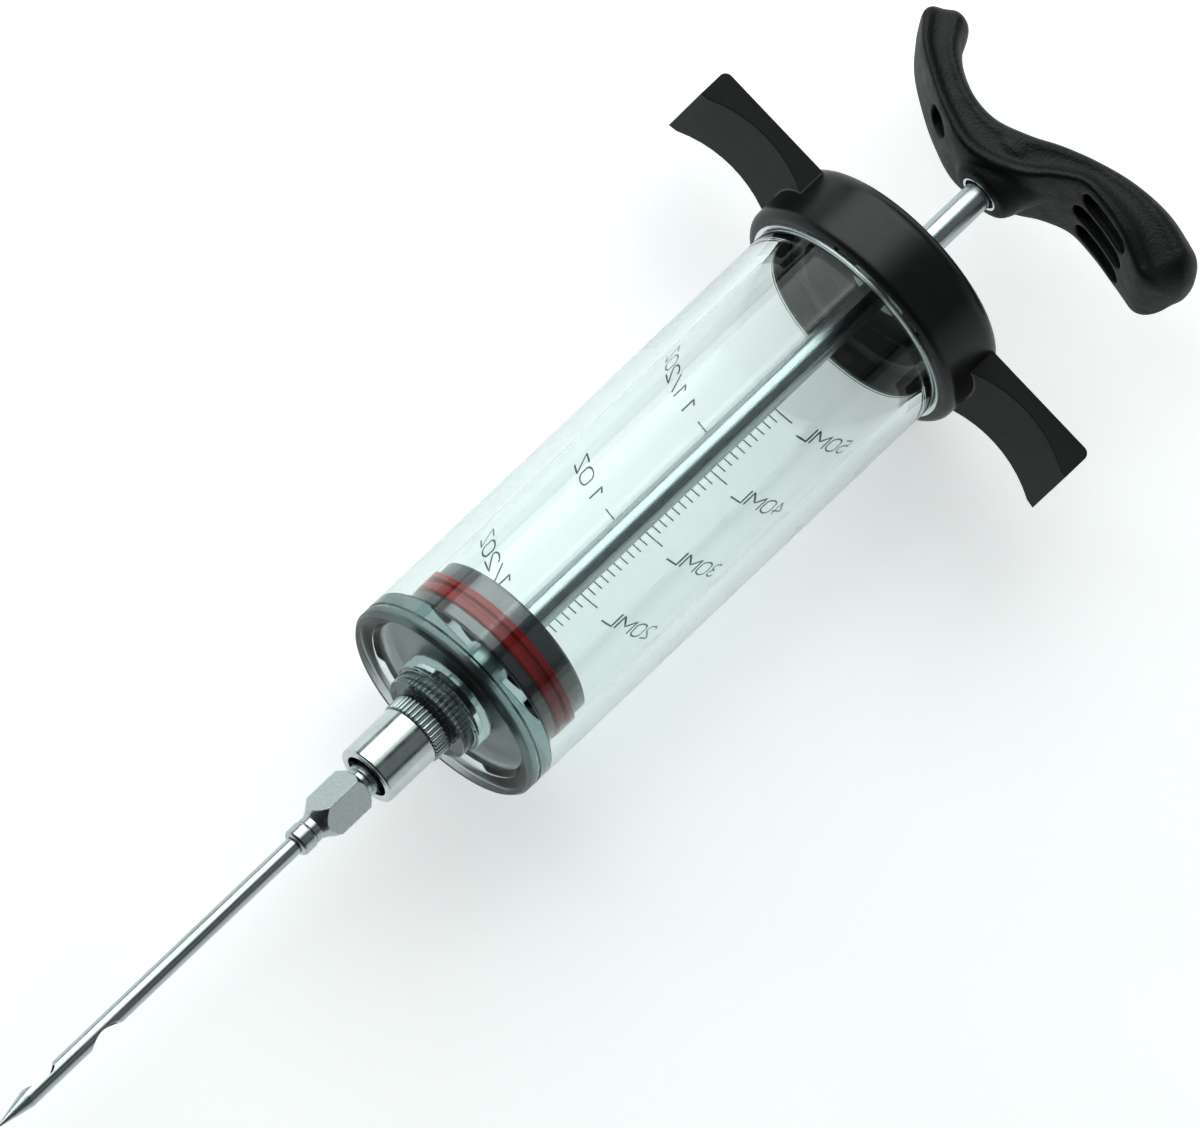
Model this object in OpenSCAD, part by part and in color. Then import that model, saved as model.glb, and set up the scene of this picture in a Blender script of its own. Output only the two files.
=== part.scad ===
// Marinade injector: a clear 50 ml barrel with a locking needle, a two-lip piston,
// a bayonet collar with finger flanges and a palm handle.
// The barrel's axis is X, the needle points to -X and the finger flanges lie along Y.
// The origin is on that axis, halfway along the open stretch of barrel.

/* [Barrel] */
// Outside diameter of the clear barrel
barrel_d = 35.8; // [35.4:0.1:36]
// Diameter of the bore that the piston runs in
bore_d = 30; // [29.6:0.1:30.4]
// Length of barrel between its front rim and the collar
barrel_l = 88.5; // [84:0.5:96]
// Thickness of the barrel's front wall
front_wall = 3.5; // [3:0.1:4]
// Diameter of the boss on the front wall
boss_d = 15; // [14.4:0.1:15.6]

/* [Needle] */
// Outside diameter of the needle tube
needle_d = 2.9; // [2.6:0.1:3.2]
// Bore of the needle tube
needle_bore = 2; // [1.6:0.1:2.2]
// Length of the needle tube in front of its ferrule
needle_l = 64.3; // [50:0.1:80]
// Length of the needle's point
point_l = 6.8; // [5:0.1:7]
// Width of the hub's square across its flats
hub_square = 5.35; // [5.1:0.05:5.5]

/* [Lock] */
// Outside diameter of the lock sleeve
sleeve_d = 10.2; // [10:0.1:10.6]
// Length of the lock sleeve
sleeve_l = 9.7; // [9.5:0.1:10.5]
// Ribs round the knurled fitting
knurl_ribs = 38; // [30:1:48]

/* [Collar] */
// Outside diameter of the collar
collar_d = 41.2; // [41:0.1:43]
// Length of the collar along the barrel
collar_l = 12; // [11.5:0.1:13]
// Span over both finger flanges
flange_span = 78.4; // [70:0.1:90]
// Width of a finger flange
flange_w = 19; // [16:0.5:22]

/* [Plunger] */
// Diameter of the push rod
rod_d = 4.6; // [4.4:0.1:4.8]
// Rod left showing between the collar and the handle
rod_gap = 15.6; // [12:0.1:24]
// Turn of the handle from the plane of the flanges, in degrees
handle_turn = 13; // [0:1:90]
// Half width of the handle's finger pads
pad_w = 10; // [9:0.1:11]

/* [Hidden] */
$fn = 96;

run = 0.04;                 // clearance of a running fit, on the radius
slip = 0.15;                // clearance of a loose fit, on the radius
eps = 0.01;                 // how far a cutter passes the face that it cuts

barrel_r = barrel_d / 2;
bore_r = bore_d / 2;
rod_r = rod_d / 2;
needle_r = needle_d / 2;
sleeve_r = sleeve_d / 2;
collar_r = collar_d / 2;

barrel_front = -barrel_l / 2;
collar_front = barrel_l / 2;
collar_rear = collar_front + collar_l;

// Front of the barrel
rim_bevel = 1.3;            // depth of the bevelled rim at its inner edge
rim_in_r = bore_r + 0.1;
floor_r = bore_r - 1;
floor_x = barrel_front + rim_bevel + 0.8;
boss_r = boss_d / 2;
boss_step_r = boss_r + 0.6;
boss_step_x = barrel_front - 0.6;
boss_x = barrel_front - 3.05;
bore_x = floor_x + front_wall;

// Metal fitting and lock sleeve
knurl_r = 5.4;
knurl_l = 2.9;
shank_r = 4.9;
shank_end = boss_x + 4.1;
stem_r = 2.4;
knurl_x = boss_x - knurl_l - 0.55;   // a narrow neck shows behind the knurl
sleeve_x = knurl_x - sleeve_l;
sleeve_bore_r = 4.05;
lip_r = 3.7;
lip_l = 1.2;
cone_r = [1.97, 2.21];      // front and back of the six per cent taper
cone_l = 8;
cone_x = knurl_x - cone_l;
cone_bore = 0.9;
ear_r = 3.95;
ear_w = 2.4;
ear_l = 1.4;

// Needle hub
hub_turn = 45 - 5.6;        // the square's corner stands nearly on top
skirt_r = 2.7;
skirt_end = knurl_x - 2.6;
neck_x = sleeve_x - 1.9;
square_x = [sleeve_x - 9.3, sleeve_x - 2.8];
hub_x = square_x[0] - 3.3;
hub_neck_r = 2.15;
ferrule_x = hub_x - 2.9;
ferrule_r = 2.3;
needle_x = ferrule_x - needle_l;
needle_neck_r = needle_r - 0.2;      // the tube is turned down where the hub holds it
seat_x = sleeve_x + 1.2;    // the needle tube ends here inside the hub

// Rear of the barrel and the bayonet
groove_r = 19.5;
ear_groove = [collar_front + 2.8, collar_front + 6.1];
bayonet_r = 19.3;
bayonet_x = [collar_front + 3, collar_front + 5.7];
bayonet_half = 24;          // half angle of a barrel lug, in degrees
entry_half = 28;            // half angle of the gap that a lug enters by
spigot_r = [12, bore_r - 0.2];
spigot_x = collar_front + 2.7;
tail_r = barrel_r - 0.3;    // the barrel steps down to this behind its open stretch
tail_x = collar_front - 0.7;
ring_r = [tail_r, barrel_r + 0.65];
ring_x = [collar_front - 0.45, collar_front - 0.02];

// Finger flanges
flange_rear = collar_front + 9.7;
flange_tip = collar_front + 4.1;
scoop_r = 21.4;             // radius of the hollow that a finger pulls on
scoop_y = 27.8;
scoop_x = collar_front + 7;

// Rod guide
guide_r = [3.55, 5.1];
guide_x = [ear_groove[1] + 0.1, collar_rear - 0.2];
guide_flange_l = 1.3;
wiper_r = [rod_r + run, rod_r + 0.7];
wiper_l = 1.1;

// Piston
plate_r = bore_r - 0.4;
plate_x = bore_x + 0.1;
plate_l = 2.3;
seal_r = bore_r - 0.03;
seal_x = plate_x + plate_l;
seal_l = 3.6;
core_r = 8;
rear_plate_r = bore_r - 0.6;
rear_plate_x = seal_x + seal_l;
rear_plate_l = 3.4;
stud_r = 1.9;
nut_r = 4.2;
nut_l = 2;
nut_x = plate_x + 0.3;
washer_r = 5;
washer_x = rear_plate_x + rear_plate_l + 0.05;
washer_l = 0.9;

// Handle
handle_x = collar_rear + rod_gap;
insert_r = 3.15;
insert_l = 8;
hub_face = 1.25;
rod_end = handle_x + insert_l;
slot_w = 4.2;               // slots of the long arm's finger pad
slot_pitch = 5.6;
slot_depth = 1.7;
long_slot = [10.5, 24.3];    // ends of the long arm's middle slot
short_slot = [-12.9, -8.8];  // ends of the short arm's one slot
short_slot_w = 5.6;
short_slot_z = 1.5;
rings_per_span = 4;         // rings of the handle's skin in each span
cap_steps = 5;

// Boss round the rod: radius and distance behind its face
boss_profile = [
    [0, 0], [4.4, 0], [5.1, 0.4], [5.7, 1.5], [6.2, 3.2], [6.7, 4.8], [7.4, 6.2], [7.4, 8], [0, 8]
];

// Stations along the handle, long arm first: distance out along the arm, distance
// behind the hub, half thickness, and half widths of the finger pad and the palm side.
stations = [
    [28.0, 11.2, 5.4, 0.74 * pad_w, 7.0],
    [22.5, 12.9, 5.1, 0.95 * pad_w, 7.6],
    [16.5, 13.5, 4.3, pad_w, 7.6],
    [11.0, 13.0, 3.5, 0.98 * pad_w, 7.3],
    [6.0, 11.0, 3.8, 0.86 * pad_w, 7.4],
    [1.5, 8.4, 4.3, 0.76 * pad_w, 7.5],
    [-4.5, 6.6, 4.3, 0.74 * pad_w, 7.2],
    [-10.5, 7.8, 3.4, 0.74 * pad_w, 6.8],
    [-15.8, 10.5, 3.1, 0.72 * pad_w, 6.6],
    [-19.4, 13.4, 3.4, 0.66 * pad_w, 6.3],
    [-21.6, 16.6, 3.8, 0.58 * pad_w, 5.8]
];
// Half outline of a section: depth from the pad (-1) to the palm (1), the share of the
// pad's half width and the share of the palm's half width.
section = [
    [-1.00, 0.30, 0], [-0.99, 0.62, 0], [-0.96, 0.86, 0], [-0.90, 0.97, 0],
    [-0.78, 1.00, 0], [-0.62, 0.86, 0.12], [-0.44, 0.52, 0.40], [-0.18, 0.20, 0.72],
    [0.12, 0.03, 0.92], [0.40, 0, 1.00], [0.66, 0, 0.88], [0.86, 0, 0.62], [0.97, 0, 0.30]
];

function arc(x, y, r, a, b, n = 6) =
    [for (i = [0:n]) let (t = a + (b - a) * i / n) [x + r * cos(t), y + r * sin(t)]];

// A point between p1 and p2 on a smooth curve through four stations
function glide(p0, p1, p2, p3, t) = (2 * p1 + (p2 - p0) * t
    + (2 * p0 - 5 * p1 + 4 * p2 - p3) * t * t
    + (3 * p1 - p0 - 3 * p2 + p3) * t * t * t) / 2;
function pick(list, i) = list[min(max(i, 0), len(list) - 1)];
function smooth(list, n) = [
    for (i = [0:len(list) - 2], j = [0:n - 1])
        glide(pick(list, i - 1), list[i], list[i + 1], pick(list, i + 2), j / n),
    list[len(list) - 1]
];
function unit(v) = v / norm(v);
function heading(list, i) =
    let (a = pick(list, i + 1), b = pick(list, i - 1)) unit([a[0] - b[0], a[1] - b[1]]);

// One ring of the handle's skin, square to the arm; out moves it along the arm and
// scale shrinks it to close an end
function skin_ring(s, way, out, scale) =
    let (c = [s[0], s[1]] + out * way, side = [-way[1], way[0]], half = [
        for (q = section) [q[0] * s[2] * scale, (q[1] * s[3] + q[2] * s[4]) * scale]
    ], n = len(half)) [
        for (k = [0:2 * n - 1])
            let (q = half[k < n ? k : 2 * n - 1 - k], p = c - q[0] * side)
                [p[1], -p[0], k < n ? q[1] : -q[1]]
    ];

// Round things about the barrel's axis. A profile is a list of [radius, x].
module turned(profile) {
    rotate([0, 90, 0]) rotate_extrude() polygon(profile);
}
module disc(r, x) {
    translate([x[0], 0, 0]) rotate([0, 90, 0]) cylinder(r = r, h = x[1] - x[0]);
}
module ring(r, x) {
    difference() {
        disc(r[1], x);
        disc(r[0], [x[0] - 1, x[1] + 1]);
    }
}
// Two opposite sectors about the axis, centred on the Y axis
module sectors(half_angle, r, x) {
    reach = 3 * r;
    for (side = [0, 180])
        rotate([side, 0, 0]) translate([x[0], 0, 0]) rotate([0, 90, 0])
            linear_extrude(x[1] - x[0])
                polygon([[0, 0], [-reach * sin(half_angle), reach * cos(half_angle)],
                    [reach * sin(half_angle), reach * cos(half_angle)]]);
}

module needle_tube() {
    // Scoops open the tube on opposite sides of the needle.
    scoop = [7.4, 9.5, 12.3, 13.9];
    scoop_y = 0.37;
    rear_scoop_x = 22.5;
    rear_scoop_y = 0.3;
    rear_scoop_r = 5.45;
    color("silver") difference() {
        turned([[0, needle_x], [0.06, needle_x], [needle_r, needle_x + point_l],
            [needle_r, ferrule_x - 0.2], [needle_neck_r, ferrule_x - 0.2],
            [needle_neck_r, seat_x], [0, seat_x]]);
        disc(needle_bore / 2, [needle_x + point_l + 0.4, seat_x + 1]);
        translate([needle_x, 0, -needle_d]) linear_extrude(2 * needle_d)
            polygon([[scoop[0] - 1, needle_r + 0.7], [scoop[0], needle_r],
                [scoop[1], scoop_y], [scoop[2], scoop_y], [scoop[2] + 0.7, scoop_y + 0.3],
                [scoop[3] - 0.3, needle_r - 0.3], [scoop[3], needle_r + 0.7]]);
        translate([needle_x + rear_scoop_x, -rear_scoop_y - rear_scoop_r, -needle_d])
            cylinder(r = rear_scoop_r, h = 2 * needle_d);
    }
}

module needle_ferrule() {
    round_r = 0.7;
    color("silver") turned(concat([[needle_neck_r, hub_x], [needle_neck_r, ferrule_x]],
        arc(ferrule_r - round_r, ferrule_x + round_r, round_r, 270, 360),
        [[ferrule_r, hub_x - 0.4], [ferrule_r - 0.2, hub_x]]));
}

module needle_hub() {
    corner_r = hub_square * 0.707;
    color("lightgray") difference() {
        union() {
            intersection() {
                turned([[0, hub_x], [hub_neck_r, hub_x], [hub_neck_r, hub_x + 1.2],
                    [hub_neck_r + 0.45, hub_x + 2.1], [hub_neck_r + 1, hub_x + 2.8],
                    [corner_r + 0.05, square_x[0] + 0.5],
                    [corner_r + 0.05, square_x[1]], [skirt_r + 0.2, neck_x], [0, neck_x]]);
                rotate([hub_turn, 0, 0]) translate([hub_x - 1, -hub_square / 2, -hub_square / 2])
                    cube([neck_x - hub_x + 2, hub_square, hub_square]);
            }
            disc(skirt_r - 0.45, [neck_x, sleeve_x - 0.9]);
            disc(skirt_r, [sleeve_x - 0.9, skirt_end]);
            // Ears that hold the hub behind the sleeve's lip
            intersection() {
                disc(ear_r, [sleeve_x + lip_l + 0.25, sleeve_x + lip_l + 0.25 + ear_l]);
                translate([sleeve_x, -ear_w / 2, -ear_r - 1]) cube([9, ear_w, 2 * ear_r + 2]);
            }
        }
        disc(needle_neck_r, [hub_x - 1, seat_x]);
        // Tapered socket
        turned([[0, seat_x - eps], [needle_bore / 2, seat_x - eps],
            [needle_bore / 2, cone_x - 0.5], [cone_r[0] + run, cone_x - 0.5],
            [cone_r[0] + run, cone_x], [cone_r[1] + run, cone_x + cone_l],
            [0, cone_x + cone_l]]);
    }
}

module lock_sleeve() {
    round_r = 0.8;
    color("silver") difference() {
        turned(concat([[lip_r, sleeve_x + 0.25], [lip_r + 0.25, sleeve_x]],
            arc(sleeve_r - round_r, sleeve_x + round_r, round_r, 270, 360),
            [[sleeve_r, knurl_x], [sleeve_bore_r, knurl_x],
            [sleeve_bore_r, sleeve_x + lip_l], [lip_r, sleeve_x + lip_l]]));
        // Two slots let the hub's ears in, a quarter turn from where they lock.
        intersection() {
            disc(sleeve_bore_r, [sleeve_x - 1, sleeve_x + lip_l + eps]);
            translate([sleeve_x - 1, -sleeve_r, -ear_w / 2 - slip])
                cube([lip_l + 1 + eps, sleeve_d, ear_w + 2 * slip]);
        }
    }
}

module luer_cone() {
    color("silver") difference() {
        union() {
            turned([[0, cone_x], [cone_r[0] - 0.1, cone_x], [cone_r[0], cone_x + 0.15],
                [cone_r[1], knurl_x - 1.5], [sleeve_bore_r, knurl_x - 1.5],
                [sleeve_bore_r, knurl_x], [0, knurl_x]]);
            disc(stem_r, [knurl_x, bore_x]);
        }
        disc(cone_bore, [cone_x - 1, bore_x + 1]);
    }
}

module knurled_fitting() {
    rib = 0.4;
    tips = 2 * knurl_ribs;
    color("silver") difference() {
        union() {
            translate([knurl_x, 0, 0]) rotate([0, 90, 0]) linear_extrude(knurl_l)
                polygon([for (i = [0:tips - 1]) let (a = 360 * i / tips, r = knurl_r - rib * (i % 2))
                    [r * cos(a), r * sin(a)]]);
            translate([knurl_x + knurl_l, 0, 0]) rotate([0, 90, 0])
                linear_extrude(shank_end - knurl_x - knurl_l)
                    polygon([for (i = [0:tips - 1])
                        let (a = 360 * i / tips, r = shank_r - rib * (i % 2))
                            [r * cos(a), r * sin(a)]]);
        }
        disc(stem_r, [knurl_x - 1, shank_end + 1]);
    }
}

module fitting_seal() {
    color("black") ring([stem_r, shank_r - 0.6], [shank_end, shank_end + 1]);
}

module barrel() {
    rim_r = barrel_r - 0.5;
    line_x = barrel_front + 2.3;
    rear = bayonet_x[1];
    color([0.85, 0.92, 0.93, 0.35]) difference() {
        union() {
            turned(concat(
                [[0, boss_x], [boss_r - 0.3, boss_x], [boss_r, boss_x + 0.3],
                [boss_r, boss_step_x], [boss_step_r - 0.2, boss_step_x],
                [boss_step_r, boss_step_x + 0.2], [boss_step_r, floor_x - 0.3],
                [boss_step_r + 0.3, floor_x], [floor_r, floor_x],
                [rim_in_r - 0.3, floor_x - 0.3], [rim_in_r, barrel_front + rim_bevel],
                [rim_r - 0.15, barrel_front]],
                arc(rim_r - 0.15, barrel_front + 0.5, 0.5, 270, 360),
                [[barrel_r - 0.1, line_x - 0.2], [barrel_r - 0.25, line_x],
                [barrel_r, line_x + 0.2], [barrel_r, tail_x], [tail_r, tail_x],
                [tail_r, rear], [0, rear]]));
            // Bayonet lugs
            intersection() {
                disc(bayonet_r, bayonet_x);
                sectors(bayonet_half, bayonet_r, bayonet_x);
            }
        }
        disc(bore_r, [bore_x, rear + 1]);
        disc(shank_r, [boss_x - 1, shank_end + 1]);
        disc(stem_r, [boss_x, bore_x + 1]);
    }
}

module piston_front_plate() {
    color([0.12, 0.12, 0.13]) difference() {
        union() {
            turned([[0, plate_x], [plate_r - 0.5, plate_x], [plate_r, plate_x + 0.5],
                [plate_r, seal_x], [0, seal_x]]);
            disc(core_r, [seal_x, rear_plate_x]);
        }
        disc(stud_r + run, [plate_x - 1, rear_plate_x + 1]);
        disc(nut_r + 0.4, [plate_x - 1, nut_x + nut_l]);
    }
}

module piston_seal() {
    lip = [0.25, 1.25, 1.55, 2.15, 2.45, seal_l - 0.25];
    groove = 0.55;
    color("firebrick") turned([[core_r, seal_x], [seal_r - 0.35, seal_x],
        [seal_r, seal_x + lip[0]], [seal_r, seal_x + lip[1]],
        [seal_r - groove, seal_x + lip[2]], [seal_r - groove, seal_x + lip[3]],
        [seal_r, seal_x + lip[4]], [seal_r, seal_x + lip[5]],
        [seal_r - 0.35, rear_plate_x], [core_r, rear_plate_x]]);
}

module piston_rear_plate() {
    end = rear_plate_x + rear_plate_l;
    color([0.3, 0.31, 0.33]) turned([[stud_r + run, rear_plate_x],
        [rear_plate_r, rear_plate_x], [rear_plate_r, end - 0.5],
        [rear_plate_r - 0.5, end], [stud_r + run, end]]);
}

module piston_nut() {
    color("silver") difference() {
        translate([nut_x, 0, 0]) rotate([0, 90, 0])
            cylinder(r = nut_r, h = nut_l - 0.05, $fn = 6);
        disc(stud_r, [nut_x - 1, nut_x + nut_l + 1]);
    }
}

module piston_washer() {
    color("silver") ring([stud_r, washer_r], [washer_x, washer_x + washer_l]);
}

module push_rod() {
    color("silver") union() {
        disc(stud_r, [nut_x, washer_x + washer_l]);
        disc(rod_r, [washer_x + washer_l, rod_end]);
    }
}

module finger_collar() {
    half_span = flange_span / 2;
    corner = 1.2;
    wall_x = ear_groove[1];
    color([0.09, 0.09, 0.09]) difference() {
        union() {
            turned(concat([[0, collar_front], [collar_r - 1.5, collar_front]],
                arc(collar_r - 1.5, collar_front + 1.5, 1.5, 270, 360),
                arc(collar_r - 3, collar_rear - 3, 3, 0, 64), [[0, collar_rear]]));
            for (side = [-1, 1])
                scale([1, side, 1]) translate([0, 0, -flange_w / 2]) linear_extrude(flange_w)
                    polygon(concat(
                        [for (y = [15:1.9:half_span - 0.4])
                            [scoop_x - scoop_r + sqrt(scoop_r ^ 2 - (y - scoop_y) ^ 2), y]],
                        [[flange_tip + 0.2, half_span]],
                        arc(flange_rear - corner, half_span - corner, corner, 90, 0),
                        [[flange_rear, 15]]));
        }
        // Barrel, bayonet groove and the two gaps that the barrel's lugs enter by
        difference() {
            disc(groove_r, [collar_front - 1, wall_x]);
            difference() {
                disc(collar_r, [collar_front - 2, ear_groove[0]]);
                disc(tail_r + slip, [collar_front - 3, ear_groove[0] + 1]);
                rotate([90, 0, 0]) sectors(entry_half, groove_r, [collar_front - 3, ear_groove[0] + 1]);
            }
            ring(spigot_r, [spigot_x, wall_x + 1]);
        }
        disc(guide_r[1] + 0.05, [wall_x - 1, guide_x[0] + guide_flange_l]);
        disc(guide_r[0], [wall_x, collar_rear + 1]);
    }
}

module collar_ring() {
    color("gainsboro") ring(ring_r, ring_x);
}

module rod_guide() {
    color("whitesmoke") difference() {
        union() {
            disc(guide_r[1], [guide_x[0], guide_x[0] + guide_flange_l]);
            disc(guide_r[0], guide_x);
        }
        disc(rod_r + run, [guide_x[0] - 1, guide_x[1] + 1]);
        disc(wiper_r[1], [guide_x[1] - wiper_l, guide_x[1] + 1]);
    }
}

module rod_wiper() {
    color("black") ring(wiper_r, [guide_x[1] - wiper_l, guide_x[1] - 0.1]);
}

module handle_insert() {
    face = handle_x + hub_face - 0.1;
    wall_r = insert_r - 0.4;
    recess = 1.4;
    color("silver") turned([[rod_r, face + recess], [wall_r, face + recess],
        [wall_r, face + 0.1], [wall_r + 0.1, face], [insert_r, face], [insert_r, rod_end + 1],
        [0, rod_end + 1], [0, rod_end], [rod_r, rod_end]]);
}

// The handle's skin, one closed shell lofted along both arms
module handle_skin() {
    path = smooth(stations, rings_per_span);
    last = len(path) - 1;
    long_end = 4.6;
    short_end = 3.1;
    step = 84 / cap_steps;
    rings = concat(
        [for (a = [84:-step:step])
            skin_ring(path[0], heading(path, 0), -long_end * sin(a), cos(a))],
        [for (i = [0:last]) skin_ring(path[i], heading(path, i), 0, 1)],
        [for (a = [step:step:84])
            skin_ring(path[last], heading(path, last), short_end * sin(a), cos(a))]
    );
    n = 2 * len(section);
    m = len(rings);
    polyhedron([for (r = rings, p = r) p], concat(
        [for (i = [0:m - 2], j = [0:n - 1]) let (k = (j + 1) % n)
            [i * n + j, (i + 1) * n + j, (i + 1) * n + k]],
        [for (i = [0:m - 2], j = [0:n - 1]) let (k = (j + 1) % n)
            [i * n + j, (i + 1) * n + k, i * n + k]],
        [[for (j = [0:n - 1]) j]],
        [[for (j = [n - 1:-1:0]) (m - 1) * n + j]]
    ));
}

// A groove that follows the finger pad between two distances out along the arms
module pad_slot(from, to, z, w = slot_w) {
    path = [for (s = smooth(stations, rings_per_span)) if (s[0] >= from && s[0] <= to) s];
    rows = len(path) - 1;
    pad = [for (i = [0:rows]) let (way = heading(path, i), side = [-way[1], way[0]])
        [for (d = [-1, slot_depth]) [path[i][0], path[i][1]] + (path[i][2] - d) * side]];
    translate([0, 0, z - w / 2]) linear_extrude(w)
        polygon(concat([for (i = [0:rows]) [pad[i][0][1], -pad[i][0][0]]],
            [for (i = [rows:-1:0]) [pad[i][1][1], -pad[i][1][0]]]));
}

module handle() {
    color([0.1, 0.1, 0.1]) difference() {
        translate([handle_x, 0, 0]) rotate([-handle_turn, 0, 0]) difference() {
            union() {
                handle_skin();
                turned([for (p = boss_profile) [p[0], hub_face + p[1]]]);
            }
            for (z = [-slot_pitch, 0, slot_pitch])
                pad_slot(long_slot[0] + abs(z) / 4, long_slot[1], z);
            pad_slot(short_slot[0], short_slot[1], short_slot_z, short_slot_w);
        }
        disc(insert_r, [handle_x - 1, rod_end + 1]);
    }
}

needle_tube();
needle_ferrule();
needle_hub();
lock_sleeve();
luer_cone();
knurled_fitting();
fitting_seal();
barrel();
piston_front_plate();
piston_seal();
piston_rear_plate();
piston_nut();
piston_washer();
push_rod();
finger_collar();
collar_ring();
rod_guide();
rod_wiper();
handle_insert();
handle();
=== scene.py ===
import math

import bmesh
import bpy
from mathutils import Matrix, Vector

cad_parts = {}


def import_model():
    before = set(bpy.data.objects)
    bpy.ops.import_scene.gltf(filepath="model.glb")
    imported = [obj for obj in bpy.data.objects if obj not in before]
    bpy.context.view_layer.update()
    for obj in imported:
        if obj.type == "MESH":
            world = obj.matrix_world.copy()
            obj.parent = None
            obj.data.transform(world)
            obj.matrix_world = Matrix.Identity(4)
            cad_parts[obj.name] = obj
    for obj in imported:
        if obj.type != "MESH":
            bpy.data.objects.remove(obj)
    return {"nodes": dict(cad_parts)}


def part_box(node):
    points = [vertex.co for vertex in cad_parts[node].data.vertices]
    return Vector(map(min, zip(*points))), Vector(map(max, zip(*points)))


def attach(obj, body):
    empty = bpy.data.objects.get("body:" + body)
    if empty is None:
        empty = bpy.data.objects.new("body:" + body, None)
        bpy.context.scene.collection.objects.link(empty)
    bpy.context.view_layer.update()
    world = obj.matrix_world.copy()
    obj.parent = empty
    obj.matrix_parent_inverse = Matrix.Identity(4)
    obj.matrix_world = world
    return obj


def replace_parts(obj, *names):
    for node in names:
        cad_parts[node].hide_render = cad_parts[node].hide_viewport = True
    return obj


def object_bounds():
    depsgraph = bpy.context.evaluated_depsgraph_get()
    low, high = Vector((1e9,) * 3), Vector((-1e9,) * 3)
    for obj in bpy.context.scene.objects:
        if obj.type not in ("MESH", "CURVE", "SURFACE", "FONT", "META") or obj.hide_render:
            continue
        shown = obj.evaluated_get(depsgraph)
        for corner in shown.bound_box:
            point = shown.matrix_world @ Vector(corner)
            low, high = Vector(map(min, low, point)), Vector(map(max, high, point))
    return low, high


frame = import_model()
CAD_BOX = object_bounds()
MM = 0.001

# ---------------------------------------------------------------- places, in mm


def low(node):
    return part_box(node)[0] / MM


def high(node):
    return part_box(node)[1] / MM


BARREL_R = 17.9
BORE_R = 15.0
FRONT_WALL = 3.5                                 # thickness of the barrel's front wall
RECESS = 2.1                                     # depth of the wall behind the rim's front edge
BORE_X = low("piston_front_plate").x - 0.1       # the piston stands 0.1 mm off the front wall
FLOOR_X = BORE_X - FRONT_WALL
BARREL_FRONT = FLOOR_X - RECESS
BOSS_X = low("barrel").x
BARREL_REAR = high("barrel").x
SHANK_END = high("knurled_fitting").x
RING_X = (low("collar_ring").x, high("collar_ring").x)
ROD_END = high("push_rod").x
ROD_IN_HANDLE = 8.0
HANDLE_X = ROD_END - ROD_IN_HANDLE
HANDLE_TURN = math.radians(13)                   # how far the handle is turned about the rod
ML = 1.415                                       # travel of the piston for one millilitre
OUNCE = 28.4                                     # millilitres

# ---------------------------------------------------------------- materials


class Look:
    """A material with one Principled shader, and short calls for the nodes that feed it."""

    def __init__(self, name, **sockets):
        self.material = bpy.data.materials.new(name)
        self.material.use_nodes = True
        self.tree = self.material.node_tree
        self.shader = self.tree.nodes["Principled BSDF"]
        for socket, value in sockets.items():
            self.shader.inputs[socket.replace("_", " ")].default_value = value
        self.place = self.add("ShaderNodeTexCoord").outputs["Object"]

    def add(self, kind, **settings):
        node = self.tree.nodes.new(kind)
        for key, value in settings.items():
            setattr(node, key, value)
        return node

    def link(self, source, node, socket):
        self.tree.links.new(source, node.inputs[socket])

    def feed(self, source, socket):
        self.tree.links.new(source, self.shader.inputs[socket])

    def noise(self, size_mm, detail=3.0, stretch=(1, 1, 1), roughness=0.5):
        """Noise whose blobs are about size_mm across, drawn out by stretch."""
        mapping = self.add("ShaderNodeMapping")
        mapping.inputs["Scale"].default_value = [1 / s for s in stretch]
        self.link(self.place, mapping, "Vector")
        node = self.add("ShaderNodeTexNoise")
        node.inputs["Scale"].default_value = 1 / (size_mm * MM)
        node.inputs["Detail"].default_value = detail
        node.inputs["Roughness"].default_value = roughness
        self.link(mapping.outputs["Vector"], node, "Vector")
        return node.outputs["Fac"]

    def span(self, source, low_value, high_value, start=0.3, end=0.7):
        """Maps source from start..end to low_value..high_value."""
        node = self.add("ShaderNodeMapRange")
        for socket, value in (("From Min", start), ("From Max", end),
                              ("To Min", low_value), ("To Max", high_value)):
            node.inputs[socket].default_value = value
        self.link(source, node, "Value")
        return node.outputs["Result"]

    def blend(self, factor, first, second):
        node = self.add("ShaderNodeMix", data_type="RGBA")
        self.link(factor, node, "Factor")
        for index, colour in ((6, first), (7, second)):
            node.inputs[index].default_value = (*colour, 1)
        return node.outputs[2]

    def bump(self, height, strength, depth_mm, normal=None):
        node = self.add("ShaderNodeBump")
        node.inputs["Strength"].default_value = strength
        node.inputs["Distance"].default_value = depth_mm * MM
        self.link(height, node, "Height")
        if normal is not None:
            self.link(normal, node, "Normal")
        return node.outputs["Normal"]

    def soft_edges(self, radius_mm):
        node = self.add("ShaderNodeBevel", samples=6)
        node.inputs["Radius"].default_value = radius_mm * MM
        return node.outputs["Normal"]

    def lighten_edges(self, factor, first, second, amount=0.5):
        """Lightens the colour along sharp edges, where pointiness is high, by the same amount on
        every such edge.
        """
        point = self.add("ShaderNodeNewGeometry").outputs["Pointiness"]
        edge = self.span(point, 0, amount, 0.52, 0.6)
        base = self.blend(factor, first, second)
        node = self.add("ShaderNodeMix", data_type="RGBA")
        self.link(edge, node, "Factor")
        self.link(base, node, 6)
        node.inputs[7].default_value = (*[min(1, 1.8 * c + 0.02) for c in second], 1)
        return node.outputs[2]


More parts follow.
